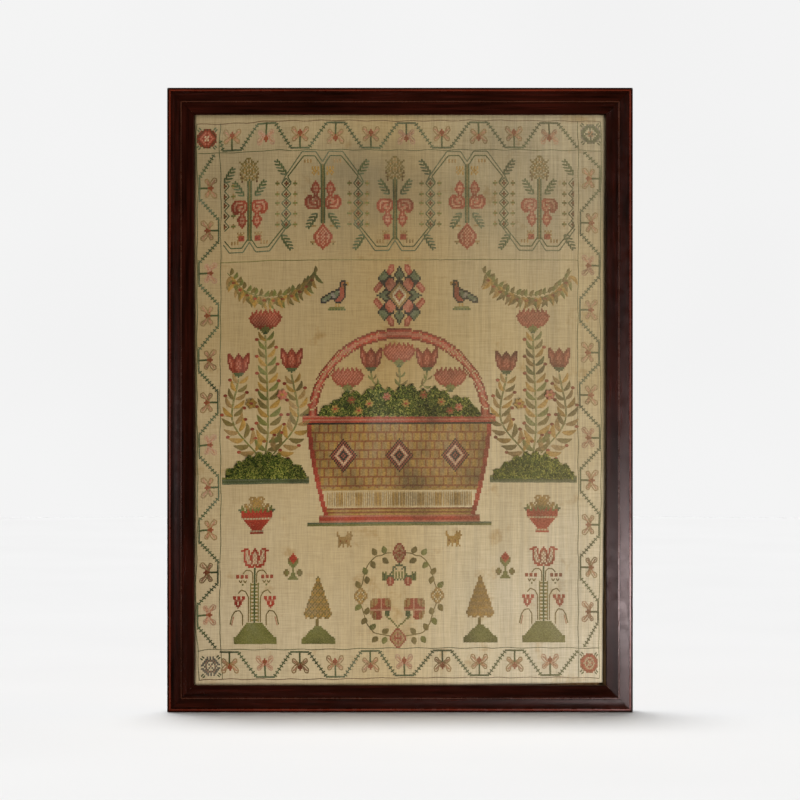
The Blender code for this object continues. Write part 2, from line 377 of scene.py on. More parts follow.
def linen_material():
    """Old handwoven linen: slubby tabby weave, darker in the upper field with painted shade, paler to the
    right with painted light, with stains.
    """
    material, tree, shader = new_material("old_linen", Roughness=0.92, Specular_IOR_Level=0.12)
    warp_slubs = noise(tree, stretched(tree, (1, 1, 0.035)), 1300, 2, 0.7)
    weft_slubs = noise(tree, stretched(tree, (0.035, 1, 1)), 1150, 2, 0.7)
    weave = maths(tree, "ADD", warp_slubs, weft_slubs)
    place = by_axis(tree)
    # Painted shade: the linen is darker towards the top, with some drift
    height = map_range(tree, place["Z"], CENTRE_HEIGHT - 0.28, CENTRE_HEIGHT + 0.285, 0, 1)
    drift = noise(tree, plain(tree), 7, 3, 0.6)
    painted_shade_height = maths(tree, "ADD", height, map_range(tree, drift, 0.2, 0.8, -0.16, 0.16))
    ground = ramp(
        tree,
        painted_shade_height,
        (0.05, (207, 193, 165)),
        (0.30, (199, 182, 148)),
        (0.55, (182, 162, 122)),
        (0.74, (178, 160, 124)),
        (0.86, (168, 153, 121)),
        (1.0, (180, 165, 132)),
    )
    # Painted light: the linen is paler towards the right
    sideways = map_range(tree, place["X"], -0.21, 0.21, 0, 1)
    lit = ramp(
        tree,
        sideways,
        (0.0, (230, 222, 207)),
        (0.28, (240, 231, 212)),
        (0.48, (236, 222, 192)),
        (0.66, (250, 246, 236)),
        (0.85, WHITE),
    )
    ground = mixed(tree, 0.85, ground, lit, "MULTIPLY")
    streaks = noise(tree, stretched(tree, (1, 1, 0.012)), 260, 3, 0.7)
    streaks = ramp(tree, streaks, (0.40, (222, 224, 230)), (0.55, WHITE))
    ground = mixed(tree, map_range(tree, sideways, 0.2, 0.8, 0.15, 0.5), ground, streaks, "MULTIPLY")
    for centre, radii, strength in SOILED:
        ground = mixed(tree, soft_spot(tree, centre, radii, strength), ground, (118, 108, 86))
    foxing = noise(tree, plain(tree), 34, 4, 0.65)
    spots = ramp(tree, foxing, (0.60, WHITE), (0.72, (214, 190, 150)))
    ground = mixed(tree, 0.55, ground, spots, "MULTIPLY")
    slubs = maths(tree, "MULTIPLY", weave, 0.5)
    threads = ramp(tree, slubs, (0.34, (196, 190, 178)), (0.60, WHITE))
    tree.links.new(mixed(tree, 0.55, ground, threads, "MULTIPLY"), shader.inputs["Base Color"])
    relief = weave
    for axis, cell in (("X", CELL_WIDTH), ("Z", CELL_HEIGHT)):
        bands = node(tree, "ShaderNodeTexWave", Scale=math.pi / (5 * cell), Distortion=1.2)
        bands.bands_direction = axis
        tree.links.new(plain(tree), bands.inputs["Vector"])
        relief = maths(tree, "ADD", relief, bands.outputs["Fac"])
    tree.links.new(bump(tree, relief, 0.12 * MM, 0.8), shader.inputs["Normal"])
    return material


def wood_material(name, grain_axis, dark, light, roughness, coat):
    """Polished wood with its grain along one axis, worn and scuffed in places."""
    material, tree, shader = new_material(name, Coat_Weight=coat, Coat_Roughness=0.12, Specular_IOR_Level=0.4)
    along = [70.0, 70.0, 70.0]
    along[grain_axis] = 3.2
    grain = noise(tree, stretched(tree, tuple(along)), 5, 5, 0.6)
    figure = noise(tree, plain(tree), 11, 3)
    both = maths(tree, "ADD", maths(tree, "MULTIPLY", grain, 0.7), maths(tree, "MULTIPLY", figure, 0.3))
    tree.links.new(ramp(tree, both, (0.36, dark), (0.64, light)), shader.inputs["Base Color"])
    scuffs = noise(tree, plain(tree), 90, 4, 0.7)
    dulled = map_range(tree, scuffs, 0.3, 0.75, roughness - 0.04, roughness + 0.10)
    tree.links.new(dulled, shader.inputs["Roughness"])
    pores = noise(tree, stretched(tree, tuple(along)), 14, 3)
    tree.links.new(bump(tree, maths(tree, "ADD", pores, scuffs), 0.05 * MM, 0.35), shader.inputs["Normal"])
    return material


# Frame

GRAIN_AXES = {0: ("top", "bottom"), 2: ("left", "right")}
# Each kind of piece with its dark and light tones, roughness and coat. The strings take more polish
WOODS = {
    "rail": ((16, 5, 2), (48, 16, 9), 0.19, 0.0),
    "edge_string": ((66, 22, 11), (112, 42, 24), 0.26, 0.7),
    "middle_string": ((50, 25, 15), (80, 44, 30), 0.26, 0.7),
}


def dress_frame():
    """New materials for the CAD rails, strings and board. Grain runs along each piece."""
    for kind, (dark, light, roughness, coat) in WOODS.items():
        for axis, sides in GRAIN_AXES.items():
            wood = wood_material(f"{kind}_wood_{axis}", axis, dark, light, roughness, coat)
            for side in sides:
                dress(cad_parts[f"{kind}_{side}"], wood)
    dress(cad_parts["board"], wood_material("pine", 2, (132, 98, 60), (178, 142, 96), 0.62, 0.0))


def dress(piece, material):
    piece.data.materials.clear()
    piece.data.materials.append(material)


# Linen


def dress_linen():
    """The linen as a fine sheet on the CAD sheet's own form."""
    flat_columns = 148
    roll_columns = 8
    rows = 196
    roll_arc = (ROLL_RADIUS - LINEN_THICKNESS / 2) * ROLL_TURN
    stations = list(np.linspace(-LINEN_HALF_FLAT, LINEN_HALF_FLAT, flat_columns + 1))
    side = [LINEN_HALF_FLAT + roll_arc * (i + 1) / roll_columns for i in range(roll_columns)]
    across = np.array([-s for s in reversed(side)] + stations + side)
    share = np.linspace(0, 1, rows + 1)
    upper = SIGHT_HEIGHT / 2 + LINEN_TUCK
    lower = -upper + eased(across, LOWER_EDGE["across"], LOWER_EDGE["up"])
    up = lower[None, :] + (upper - lower[None, :]) * share[:, None]
    grid = np.broadcast_to(across, up.shape)
    points = on_linen(grid, up, -LINEN_THICKNESS / 2)
    points = points[:, [0, *range(len(across)), -1]]
    points[:, 0, 1] += ROLL_DROP
    points[:, -1, 1] += ROLL_DROP
    slack = LINEN_SLACK * rng.standard_normal(points.shape[:2])
    calm = roll_columns + 4
    points[1:-1, calm:-calm, 1] += slack[1:-1, calm:-calm]
    height, width = points.shape[:2]
    index = np.arange(height * width).reshape(height, width)
    faces = np.stack([index[:-1, :-1], index[:-1, 1:], index[1:, 1:], index[1:, :-1]], axis=-1).reshape(-1, 4)
    mesh = bpy.data.meshes.new("linen_sheet")
    mesh.from_pydata(points.reshape(-1, 3), [], faces)
    mesh.materials.append(linen_material())
    mesh.shade_smooth()
    sheet = new_object("linen_sheet", mesh)
    thickness = sheet.modifiers.new("thickness", "SOLIDIFY")
    thickness.thickness = LINEN_THICKNESS
    thickness.offset = 0
    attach(sheet, BODY)
    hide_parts("linen")
    return sheet


# Stitches


class Arms:
    """Collects stitch arms, each a short arched length of thread from one hole to another."""

    def __init__(self, name):
        self.name = name
        self.starts = []
        self.ends = []
        self.rises = []
        self.arches = []
        self.halves = []
        self.threads = []

    def add(self, starts, ends, letter, rise=0.0, arch=ARM_ARCH, half=ARM_HALF_WIDTH):
        starts = np.asarray(starts, float).reshape(-1, 2)
        count = len(starts)
        self.starts.append(starts)
        self.ends.append(np.asarray(ends, float).reshape(-1, 2))
        self.rises.append(np.full(count, rise))
        self.arches.append(np.full(count, arch))
        self.halves.append(np.full(count, half))
        self.threads.extend([letter] * count)

    def build(self):
        starts = np.concatenate(self.starts)
        ends = np.concatenate(self.ends)
        rises = np.concatenate(self.rises)
        arches = np.concatenate(self.arches)
        halves = np.concatenate(self.halves)
        run = ends - starts
        length = np.maximum(np.linalg.norm(run, axis=1), 1e-6)
        sideways = np.stack([-run[:, 1], run[:, 0]], axis=1) / length[:, None]
        flats, lifts = [], []
        for share, side, share_of_arch in (
            (0, 0, None),
            (SHOULDER, 1, 0.25),
            (SHOULDER, 0, 1.0),
            (SHOULDER, -1, 0.25),
            (1 - SHOULDER, 1, 0.25),
            (1 - SHOULDER, 0, 1.0),
            (1 - SHOULDER, -1, 0.25),
            (1, 0, None),
        ):
            flats.append(starts + run * share + sideways * side * halves[:, None])
            if share_of_arch is None:
                lifts.append(np.full(len(starts), -TIP_SINK))
            else:
                lifts.append(rises + arches * share_of_arch)
        flats = np.stack(flats, axis=1)
        lifts = np.stack(lifts, axis=1)
        points = on_linen(flats[..., 0], flats[..., 1], lifts)
        letters = sorted(set(self.threads))
        slots = {letter: i for i, letter in enumerate(letters)}
        offsets = np.arange(len(starts)) * 8
        faces = []
        for corners in ARM_FACES:
            faces.append((offsets[:, None] + np.array(corners)).tolist())
        mesh = bpy.data.meshes.new(self.name)
        mesh.from_pydata(points.reshape(-1, 3), [], [face for group in zip(*faces) for face in group])
        for letter in letters:
            mesh.materials.append(THREAD_MATERIALS[letter])
        chosen = np.repeat([slots[letter] for letter in self.threads], len(ARM_FACES))
        mesh.polygons.foreach_set("material_index", chosen.astype(np.int32))
        mesh.shade_smooth()
        piece = new_object(self.name, mesh)
        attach(piece, BODY)
        return piece


class Canvas:
    """Cells of the canvas and their threads."""

    def __init__(self, name, edge=200):
        self.name = name
        self.edge = edge
        self.cells = {}
        self.long_stitches = []

    def stitch(self, column, row, letter):
        """Works one stitch, if it isn't beyond the canvas's left or right edge."""
        if abs(column) <= self.edge:
            self.cells[(round(column), round(row))] = letter

    def long_stitch(self, start, end, letter, half=LONG_HALF_WIDTH):
        """One slanting stitch between two places on the canvas."""
        if max(abs(start[0]), abs(end[0])) <= self.edge:
            self.long_stitches.append((start, end, letter, half))

    def back_stitch(self, points, letter, half=BACK_HALF_WIDTH):
        """Small stitches end to end along a line."""
        for (c0, r0), (c1, r1) in zip(points, points[1:]):
            count = max(1, round(math.hypot(c1 - c0, r1 - r0) / 2))
            columns = np.linspace(c0, c1, count + 1)
            rows = np.linspace(r0, r1, count + 1)
            spots = list(zip(columns, rows))
            for start, end in zip(spots, spots[1:]):
                self.long_stitch(start, end, letter, half)

    def chart(self, rows, column, row, flip_x=False, flip_z=False, turned=0):
        """Works a chart centred on a column, from a top row. Dots stay bare.

        Turned charts lie on their side, their foot to the left for 1 and to the right for -1."""
        width = len(rows[0])
        for down, line in enumerate(rows):
            for right, letter in enumerate(line):
                if letter == ".":
                    continue
                dx = right - width // 2
                dz = -down
                if flip_x:
                    dx = -dx
                if flip_z:
                    dz = down
                if turned:
                    dx, dz = turned * dz, dx
                self.stitch(column + dx, row + dz, letter)

    def line(self, points, letter):
        """A line of stitches through points of the canvas."""
        for (c0, r0), (c1, r1) in zip(points, points[1:]):
            steps = max(1, round(max(abs(c1 - c0), abs(r1 - r0))))
            for step in range(steps + 1):
                column = c0 + (c1 - c0) * step / steps
                row = r0 + (r1 - r0) * step / steps
                self.stitch(column, row, letter)

    def build(self):
        arms = Arms(self.name)
        cells = sorted(self.cells)
        for letter in sorted(set(self.cells.values())):
            chosen = np.array([cell for cell in cells if self.cells[cell] == letter], float)
            middle = chosen + rng.normal(0, 0.035, chosen.shape)
            reach = 0.58 + rng.normal(0, 0.02, (len(chosen), 1))
            for corner, rise in (((1, -1), 0.0), ((1, 1), UPPER_ARM_RISE)):
                corner = np.array(corner) * reach
                starts = np.stack(canvas_place(*(middle - corner).T), axis=1)
                ends = np.stack(canvas_place(*(middle + corner).T), axis=1)
                arms.add(starts, ends, letter, rise)
        for start, end, letter, half in self.long_stitches:
            place = np.stack(canvas_place(*start))
            run = np.stack(canvas_place(*end)) - place
            arms.add(place - 0.15 * run, place + 1.15 * run, letter, UPPER_ARM_RISE, 0.3 * MM, half)
        return arms.build()


def mirrored(rows):
    """Whole rows from right halves that start with the middle column."""
    return [row[:0:-1] + row for row in rows]


def line_stitches(arms, points, letter, step=1.9, half=0.21 * MM):
    """A run of small back stitches along a line on the canvas."""
    points = np.asarray(points, float)
    lengths = np.hypot(np.diff(points[:, 0]), np.diff(points[:, 1]))
    places = np.concatenate([[0], np.cumsum(lengths)])
    count = max(1, round(places[-1] / step))
    along = np.linspace(0, places[-1], count + 1)
    columns = np.interp(along, places, points[:, 0]) + rng.normal(0, 0.05, count + 1)
    rows = np.interp(along, places, points[:, 1]) + rng.normal(0, 0.05, count + 1)
    spots = np.stack(canvas_place(columns, rows), axis=1)
    overlap = (spots[1:] - spots[:-1]) * 0.2
    arms.add(spots[:-1] - overlap, spots[1:] + overlap, letter, 0.0, 0.24 * MM, half)


def satin_leaf(arms, base, tip, width, letter, bend=0.0, slant=0.16, lift=0.02 * MM):
    """A leaf of slanting satin stitches between two places on the canvas, its width in metres."""
    base = np.array([base[0] * CELL_WIDTH, base[1] * CELL_HEIGHT])
    tip = np.array([tip[0] * CELL_WIDTH, tip[1] * CELL_HEIGHT])
    run = tip - base
    length = float(np.linalg.norm(run))
    sideways = np.array([-run[1], run[0]]) / length
    count = max(4, round(length / (0.46 * MM)))
    along = np.linspace(0.03, 0.97 - slant, count)

    def edge(share, side):
        half = width / 2 * np.sin(np.pi * share**0.85)
        bow = bend * length * np.sin(np.pi * share)
        return base + run * share[:, None] + sideways * (side * half + bow)[:, None]

    jitter = rng.normal(0, 0.10 * MM, (count, 2))
    arms.add(edge(along, -1) + jitter, edge(along + slant, 1) + jitter, letter, lift, 0.42 * MM, 0.34 * MM)


def satin_berry(arms, column, row, radius, letter, lift=0.05 * MM):
    """A round berry of upright satin stitches."""
    count = max(3, round(2 * radius / (0.46 * MM)))
    places = np.linspace(-0.86, 0.86, count) * radius
    half = np.sqrt(radius**2 - places**2)
    x = column * CELL_WIDTH + places
    z = row * CELL_HEIGHT
    low = np.stack([x, z - half], axis=1)
    high = np.stack([x, z + half], axis=1)
    arms.add(low, high, letter, lift, 0.5 * MM, 0.34 * MM)


def pile(arms, inside, box, letters, height=2.4 * MM, spread=0.9 * MM):
    """Looped woollen pile over the part of a box of the canvas where inside() is true."""
    c0, c1, r0, r1 = box
    across = np.arange(c0 * CELL_WIDTH, c1 * CELL_WIDTH, spread)
    up = np.arange(r0 * CELL_HEIGHT, r1 * CELL_HEIGHT, spread)
    columns, rows = np.meshgrid(across, up)
    spots = np.stack([columns.ravel(), rows.ravel()], axis=1)
    spots = spots + rng.uniform(-0.5, 0.5, spots.shape) * spread
    spots = spots[inside(spots[:, 0] / CELL_WIDTH, spots[:, 1] / CELL_HEIGHT)]
    angle = rng.uniform(0, 2 * np.pi, len(spots))
    reach = rng.uniform(0.9, 2.2, len(spots)) * MM
    step = np.stack([np.cos(angle), np.sin(angle)], axis=1) * reach[:, None]
    clumps = np.sin(spots[:, 0] / MM * 0.9 + 2 * np.sin(spots[:, 1] / MM * 0.7)) * 0.6
    chosen = np.clip(rng.normal(0.5, 0.28, len(spots)) + 0.2 * clumps, 0, 0.999) * len(letters)
    chosen = chosen.astype(int)
    level = rng.integers(0, 3, len(spots))
    for i, letter in enumerate(letters):
        for layer, share in enumerate((0.5, 0.75, 1.0)):
            pick = (chosen == i) & (level == layer)
            if pick.any():
                ends = spots[pick] + step[pick]
                arms.add(spots[pick] - step[pick], ends, letter, 0.2 * MM, share * height, 0.46 * MM)


# Charts. A half chart starts at its middle column and is mirrored. Dots stay bare

BORDER_HEAD = (
    "..r..",
    ".rcr.",
    ".rcr.",
    "r.r.r",
)
# How far a flower's head reaches from its bar, in rows or in columns
HEAD_TOP = {"level": 10, "upright": 9}
# One side's petals of a border flower as closed lobes, up from its bar
BORDER_PETALS = (
    ((0.8, 6.6), (2.4, 9.2), (3.4, 11.6), (5.2, 11.8), (5.8, 9.8), (3.8, 7.8), (0.8, 6.6)),
    ((0.6, 6.2), (3.0, 6.9), (5.2, 5.6), (4.8, 3.8), (3.2, 4.0), (2.2, 5.4), (0.6, 6.2)),
)
# The paler thread inside each lobe
PETAL_HEARTS = (((1.9, 8.0), (3.4, 9.6), (4.8, 10.6)), ((2.0, 6.2), (3.4, 5.6), (4.3, 4.8)))

# Corner rosettes: rings of thread from the middle outwards
ROSETTE_PITCH = 1.75 * MM
ROSETTES = {
    "red": ("ww", "wp", "Rr", "pr", "Rr", "Rb"),
    "green": ("qr", "qs", "l.", ".s", "ss", "ls"),
    "grey": ("QQ", "l.", "..", "lQ", "l.", ".l"),
    "orange": ("ww", "wq", "vr", "wq", "vv", "cv"),
}

WINGS = (
    "og.rrrrrrrr..",
    "ogrrrqqqqqrr.",
    "ogrqrrrrrqqrr",
    "ogrqr.qprrqrr",
    "ogrqrrpqprqrr",
    "ogrrqpq.rrqrr",
    "og.rrqrrrrrr.",
    "og..rrr.rrr..",
    "og..rqr......",
    "og.rrprr.....",
    "og.rqqqrr....",
    "ogrrprprr....",
    "og.rqqqr.....",
    "og.rrprr.....",
    "og..rrr......",
    "og...r.......",
)
BUD = (
    "r......",
    "rr.....",
    "qrr....",
    "rqrr...",
    "qrqrr..",
    "rqrqrr.",
    "qrrrqrr",
    "rqrqqrr",
    "qrrrqrr",
    "rqrqrr.",
    "qrrqrr.",
    "rqrrr..",
    "qrrr...",
    "rr.....",
    "r......",
)
LACY_HEAD = (
    "oo.....",
    "t.o....",
    "o.oo..o",
    ".to.oo.",
    "o.oto..",
    "oo.o.o.",
    "t.oto.o",
    "oto.oo.",
    "o.oto.o",
    ".oo..ob",
    "o..oto.",
    "oto.obo",
    "g.oo.o.",
    "go...b.",
)
SMALL_SQUARE = (
    "t.t.t",
    ".ttt.",
    "rrrrt",
    "rRrr.",
    "rrrrt",
)
ARCH_TASSEL = (
    "y.y.y",
    "y.y.y",
    ".yyy.",
    "y.y.y",
    "y..y.",
)

URN = (
    ".tttt........",
    "tyt.tt.......",
    "ttytt........",
    "tyttt........",
    "ytyt.t.tt....",
    "ttytt.tyt.m..",
    "mtmtmttt.mm..",
    "mmmvmmvm.mmss",
    "vmvvmvvmmvvs.",
    "vvvvvvvvvvv..",
    "vvvvvvvvvvv..",
    "rvrvrvrvrvr..",
    "wqwqwqwqwqw..",
    "vvvvvvvvv....",
    "vvvvvvvv.....",
    "vvvvvvv......",
    "vvvvvv.......",
    "vvvvv........",
    "vvvv.........",
    "wqwqw........",
    "vvvvv........",
)
TULIP = (
    "v....vvv..",
    "rv..v.Qvvv",
    "Qrv.vQ.v..",
    ".Qr.v.Qv..",
    "Q.rvQ.Qv..",
    ".Qrv.Q.v..",
    "Q.rvQ.Qv..",
    ".Qr.Q.vv..",
    "Q.rQ.Qv...",
    "rr.vvvv...",
    ".vvvv.....",
)
SMALL_BUD = (
    "v......",
    "vv.....",
    "vvv....",
    "rvvo...",
    "vvoo...",
    "vomm...",
    "mmm....",
    "mm.....",
    "m......",
    "m...oo.",
    "m..omoo",
    "mm.omoo",
    "mm..oo.",
    "mmm....",
    "mmmm...",
)
ANIMAL = (
    "t......t.t.",
    "t......ttt.",
    "tt....ttttt",
    ".ttttttttt.",
    ".ttttttttt.",
    ".tctttctt..",
    ".tttttttt..",
    ".tt.t..tt..",
    ".t..t..t.t.",
)
TOP_ROSE = (
    "rr...",
    "tqr..",
    "qtrr.",
    "rtqr.",
    "rrtqr",
    "tqrrr",
    "rrtqr",
    "rtqr.",
    "qtrr.",
    "tqr..",
    "rr...",
)
BOTTOM_ROSE = (
    "r.....",
    "rr....",
    "tqr...",
    "rttr..",
    "rqttr.",
    "tqrqtr",
    "rrrtqr",
    "tqrqtr",
    "rqttr.",
    "rttr..",
    "tqr...",
    "rr....",
)
SIDE_FLOWER = (
    "tt...",
    ".yt..",
    "t.ot.",
    "yt.yt",
    "yyt.t",
    "yt.yt",
    "t.ot.",
    ".yt..",
    "tt...",
)
DROOPING_BUD = (
    "ggg",
    "qrg",
    "qrr",
    "qrr",
    "qrr",
    "rr.",
)
QUARTERED_BLOOM = (
    ".tcttrrqrrtct.",
    "ttcttrrqrrttct",
    "ttcttrrqrrttct",
    "ttctrrrqrrttct",
    "ttcrrrrqrrrtct",
    "rrrrrrrqrrrrrr",
    "qqqqqqqqqqqqqq",
    "ttcrrrrq..ggg.",
    "ttctrrrq..ggg.",
    ".tctrrrq..ggg.",
    ".tctrrrr...g..",
    "..ttrrr.......",
)


def quarters(rows):
    """A whole chart from its upper right quarter, whose first row is the middle one."""
    upper = mirrored(rows)
    return upper[:0:-1] + upper


# The leafy zigzag border

OUTER_TOP = 156.2
INNER_TOP = 139.7
INNER_BOTTOM = -140.6
OUTER_BOTTOM = -157.3
INNER_SIDE = 121.5
OUTER_SIDE = 137.2
SEPARATOR = 77.9
BAR_HALF = 6
TOOTH_PITCH = 3.7 * MM


def leafy_slope(canvas, start, end):
    """A slope of the zigzag: a line of stitches with short teeth across it."""
    rise = end[1] - start[1]
    run = end[0] - start[0]
    teeth = max(2, round(math.hypot(run * CELL_WIDTH, rise * CELL_HEIGHT) / TOOTH_PITCH))
    lean = -1 if (run > 0) == (rise > 0) else 1
    canvas.back_stitch((start, end), "s")
    for tooth in range(teeth):
        share = (tooth + 0.5) / teeth
        column = start[0] + run * share
        row = start[1] + rise * share
        letter = "gsg"[tooth % 3]
        canvas.long_stitch((column - 1.1, row - 0.62 * lean), (column + 1.1, row + 0.62 * lean), letter)


def rosette(canvas, column, row, kind):
    """A round corner flower. Each ring has two threads that take turns."""
    for dx in range(-7, 8):
        for dz in range(-7, 8):
            ring = round(math.hypot(dx * CELL_WIDTH, dz * CELL_HEIGHT) / ROSETTE_PITCH)
            if ring < len(ROSETTES[kind]):
                letter = ROSETTES[kind][ring][(dx + dz) % 2]
                if letter != ".":
                    canvas.stitch(column + dx, row + dz, letter)
    for right in (-1, 1):
        for up in (-1, 1):
            for side in (0, 1.0):
                start = (column + (5.2 - side) * right, row + (3.9 + side) * up)
                end = (start[0] + 1.5 * right, start[1] + 1.2 * up)
                canvas.long_stitch(start, end, "s")


TOP_FLOWERS = (-113, -90, -67, -43, -19, 5, 29, 54, 78, 102)
BOTTOM_FLOWERS = (-116, -92, -68, -44, -20, 3, 29, 54, 78, 102)
LEFT_FLOWERS = (120, 96, 72, 48, 23, -1, -25, -49, -73, -97, -121)
RIGHT_FLOWERS = (124, 99, 75, 50, 26, 2, -22, -46, -71, -95, -120)


def border_flower(canvas, column, row, letter, heading):
    """A flower standing on its bar's middle. Its heading is a step away from the bar."""
    right, up = heading
    if right:
        canvas.chart(BORDER_HEAD, column + right * HEAD_TOP["upright"], row, turned=right)
        canvas.line(((column, row), (column + right * 5, row)), "g")
    else:
        canvas.chart(BORDER_HEAD, column, row + up * HEAD_TOP["level"], flip_z=up < 0)
        canvas.line(((column, row), (column, row + up * 6)), "g")
    threads = [(petal, "q", LEAF_HALF_WIDTH) for petal in PETAL_HEARTS]
    threads += [(petal, letter, BACK_HALF_WIDTH) for petal in BORDER_PETALS]
    for petal, shade, half in threads:
        for side in (-1, 1):
            if right:
                points = [(column + right * away, row + side * across) for across, away in petal]
            else:
                points = [(column + side * across, row + up * away) for across, away in petal]
            canvas.back_stitch(points, shade, half)


def level_border(canvas, valley, peak, up, columns):
    """The border along the top, or with up = -1 along the bottom."""
    for k, column in enumerate(columns):
        standing = k % 2 == 0
        bar = valley if standing else peak
        toward = up if standing else -up
        canvas.line(((column - BAR_HALF, bar), (column + BAR_HALF, bar)), "s")
        border_flower(canvas, column, bar, "TQTT"[k % 4], (0, toward))
        if k + 1 < len(columns):
            other = peak if standing else valley
            leafy_slope(canvas, (column + BAR_HALF, bar), (columns[k + 1] - BAR_HALF, other))
    leafy_slope(canvas, (columns[-1] + BAR_HALF, peak), (121, valley))


def upright_border(canvas, outer, inner, rows):
    """The border up one side. It stands on its outer line where the flower's number is even."""
    side = 1 if outer > 0 else -1
    for k, row in enumerate(rows):
        on_outer = k % 2 == 0
        bar = outer if on_outer else inner
        toward = -side if on_outer else side
        canvas.line(((bar, row - BAR_HALF), (bar, row + BAR_HALF)), "s")
        border_flower(canvas, bar, row, "TTQT"[k % 4], (toward, 0))
        if k + 1 < len(rows):
            other = inner if on_outer else outer
            leafy_slope(canvas, (bar, row - BAR_HALF), (other, rows[k + 1] + BAR_HALF))
    leafy_slope(canvas, (outer, rows[0] + BAR_HALF), (inner + 2 * side, 139))
    leafy_slope(canvas, (outer, rows[-1] - BAR_HALF), (inner + 2 * side, -140))


def border():
    canvas = Canvas("border_stitches")
    level_border(canvas, 141, 155, 1, TOP_FLOWERS)
    leafy_slope(canvas, (-119, 141), (-121, 147))
    level_border(canvas, -142, -156, -1, BOTTOM_FLOWERS)
    upright_border(canvas, -136, -123, LEFT_FLOWERS)
    upright_border(canvas, 136, 123, RIGHT_FLOWERS)
    rosette(canvas, -130, 148, "red")
    rosette(canvas, 130, 149, "green")
    rosette(canvas, -129, -150, "grey")
    rosette(canvas, 129, -149, "orange")
    canvas.build()


# The arcaded flower band

UPRIGHT_PLANTS = (-102, -3, 95)
HANGING_PLANTS = (-52, 46)
DIAMOND_COLUMNS = (-119, -77, -28, 21, 71, 118)
DIAMOND_ROWS = (121, 115, 110, 104, 98)
ARCH_HALF = ((0, 133), (4.4, 138.8), (13.7, 138.8), (25.7, 125), (27.7, 121.5))
ARCH = tuple((-across, row) for across, row in reversed(ARCH_HALF[1:])) + ARCH_HALF
INNER_ARCH = ((-21.6, 121.5), (-24.0, 124.8), (-12.7, 136.4), (-5.2, 136.4), (-1.2, 131.4))
BAND_MIDDLE = 111
# Sprigs under the band's arches: column, and which way each leans
LOWER_SPRIGS = ((-80, 1), (17, 1), (-24, -1), (75, -1), (112, 1))


def sprig(canvas, column, row, right, up):
    """A leafy sprig: chevrons nested up a slant, open towards its tip."""
    for step, reach in enumerate((3.8, 4.2, 4.0, 3.4, 2.4)):
        column_now = column + 1.35 * right * step
        row_now = row + 1.75 * up * step
        level_tip = (column_now + right * reach, row_now + up * 0.5)
        upright_tip = (column_now + right * 0.3, row_now + up * reach * 0.7)
        shade = "g" if step % 2 else "s"
        canvas.long_stitch((column_now, row_now), level_tip, shade, LEAF_HALF_WIDTH)
        canvas.long_stitch((column_now, row_now), upright_tip, "g", LEAF_HALF_WIDTH)


def arches(canvas, column, hanging):
    """The double line of an arch over a hanging plant, or under an upright one."""
    lines = [(ARCH, "s")]
    for side in (-1, 1):
        lines.append(([(across * side, row) for across, row in INNER_ARCH], "g"))
    for points, letter in lines:
        placed = [(column + across, row if hanging else 2 * BAND_MIDDLE - row) for across, row in points]
        canvas.back_stitch(placed, letter)


def stem(canvas, column, top, bottom):
    canvas.line(((column, top), (column, bottom)), "o")
    for side in (-1, 1):
        canvas.line(((column + side, top), (column + side, bottom)), "g")


def upright_plant(canvas, column):
    arches(canvas, column, False)
    canvas.chart(mirrored(LACY_HEAD), column, 136)
    stem(canvas, column, 123, 90)
    for side in (-1, 1):
        sprig(canvas, column + 4 * side, 115, side, 1)
        canvas.chart(SMALL_SQUARE, column + 6 * side, 94, flip_x=side < 0)
        for tick in (8, 10, 12):
            canvas.line(((column + tick * side, 88), (column + tick * side, 89)), "t")
    canvas.chart(mirrored(WINGS), column, 112)


def hanging_plant(canvas, column):
    arches(canvas, column, True)
    stem(canvas, column, 131, 99)
    for side in (-1, 1):
        canvas.chart(ARCH_TASSEL, column + 5 * side, 130, flip_x=side < 0)
        for tick in (8, 10, 12):
            canvas.line(((column + tick * side, 134), (column + tick * side, 133)), "t")
        sprig(canvas, column + 4 * side, 104, side, -1)
        canvas.line(((column + 5 * side, 97), (column + 7 * side, 97)), "t")
        canvas.line(((column + 6 * side, 88), (column + 8 * side, 88)), "t")
        canvas.stitch(column + 7 * side, 87, "o")
    canvas.chart(mirrored(WINGS), column, 107, flip_z=True)
    canvas.chart(mirrored(BUD), column, 98)


def diamonds(canvas, column, sides):
    """A chain of brown diamonds in a green lattice, a barbed tick beside each."""
    above = DIAMOND_ROWS[0] + 3
    for row, below in zip(DIAMOND_ROWS, (*DIAMOND_ROWS[1:], DIAMOND_ROWS[-1] - 5)):
        foot = (row + below) / 2
        for side in sides:
            canvas.back_stitch(((column, above), (column + 3.2 * side, row)), "s")
            canvas.back_stitch(((column + 3.2 * side, row), (column, foot)), "g")
            canvas.stitch(column + side, row, "b")
            canvas.line(((column + 5 * side, row), (column + 7 * side, row)), "m")
            for down in (-1, 1):
                canvas.stitch(column + 6 * side, row - down, "t")
        for down in (-1, 1):
            canvas.stitch(column, row - down, "b")
        canvas.stitch(column, row, "c")
        above = foot


def band():
    canvas = Canvas("band_stitches", 120)
    for column in DIAMOND_COLUMNS:
        sides = (1,) if column == DIAMOND_COLUMNS[0] else (-1,) if column == DIAMOND_COLUMNS[-1] else (-1, 1)
        diamonds(canvas, column, sides)
    for column in UPRIGHT_PLANTS:
        upright_plant(canvas, column)
    for column in HANGING_PLANTS:
        hanging_plant(canvas, column)
    for column in DIAMOND_COLUMNS:
        away = -1 if column in (-77, 21, 118) else 1
        sprig(canvas, column, 123 if column == -119 else 126, away, 1)
    for column, right in LOWER_SPRIGS:
        sprig(canvas, column, 92, right, -1)
    canvas.build()


# The motifs below: urns, tulip plants, small trees, animals and a wreath


def mound(canvas, column, top, bottom, top_half, bottom_half):
    """A mound of ground in solid rows of green, its sides upright at the foot."""
    for row in range(top, bottom - 1, -1):
        share = (top - row) / (top - bottom)
        half = round(top_half + (bottom_half - top_half) * min(1, share * 1.3))
        for across in range(-half, half + 1):
            canvas.stitch(column + across, row, "m")


